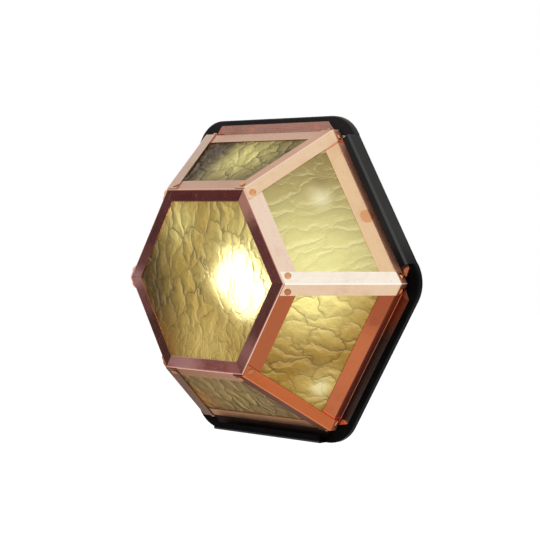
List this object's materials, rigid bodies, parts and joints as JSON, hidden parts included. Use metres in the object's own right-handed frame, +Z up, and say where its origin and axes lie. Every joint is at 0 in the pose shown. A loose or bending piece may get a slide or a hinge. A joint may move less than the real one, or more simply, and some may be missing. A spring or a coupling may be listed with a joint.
{
  "type": "flush ceiling light",
  "caption": "Hexagonal flush light: a tapered copper lantern with textured amber glass panes that slides out of two channels on a black steel plate, over a lampholder and bulb",
  "frame": {"origin": "middle of the plate's back plane, which lies on the wall or ceiling", "axes": "+Y into the wall or ceiling, +X along the two fixing holes, +Z up as hung on a wall"},
  "size_m": [0.3366, 0.101, 0.3],
  "materials": {
    "copper": "copper sheet, lacquered, with tarnish and heat marks",
    "amber_glass": "rolled cathedral glass with a wrinkled face",
    "black_powder_coat": "fine satin powder coat on steel",
    "zinc_plated_steel": "zinc plated",
    "porcelain": "white glaze",
    "brass": "plain",
    "bulb_glass": "opal glass, with a metal screw cap",
    "black_rubber": "matt",
    "white_plastic": "moulded"
  },
  "bodies": {
    "base": {"base_plate": "black_powder_coat", "channel_upper_right": "black_powder_coat", "channel_bottom": "black_powder_coat", "lamp_bracket": "zinc_plated_steel", "bracket_screws": "zinc_plated_steel", "lampholder_screws": "zinc_plated_steel", "earth_screw": "zinc_plated_steel", "lampholder_body": "porcelain", "lampholder_shell": "brass", "lampholder_contact": "brass", "terminal_screws": "brass", "bulb": "bulb_glass", "cable_grommet": "black_rubber", "terminal_block": "white_plastic"},
    "lantern": {"front_strip_1": "copper", "front_strip_2": "copper", "front_strip_3": "copper", "front_strip_4": "copper", "front_strip_5": "copper", "front_strip_6": "copper", "base_strip_1": "copper", "base_strip_2": "copper", "base_strip_3": "copper", "base_strip_4": "copper", "base_strip_5": "copper", "base_strip_6": "copper", "corner_strip_1": "copper", "corner_strip_2": "copper", "corner_strip_3": "copper", "corner_strip_4": "copper", "corner_strip_5": "copper", "corner_strip_6": "copper", "side_glass_tabs": "copper", "front_glass_tabs": "copper", "front_rivets": "copper", "base_rivets": "copper", "key_studs": "copper", "side_glass_1": "amber_glass", "side_glass_2": "amber_glass", "side_glass_3": "amber_glass", "side_glass_4": "amber_glass", "side_glass_5": "amber_glass", "side_glass_6": "amber_glass", "front_glass": "amber_glass"}
  },
  "joints": [
    {"name": "lantern_slide", "type": "slide", "parent": "base", "child": "lantern", "axis": [-0.866, 0, 0.5], "range_m": [0, 0.008]}
  ]
}
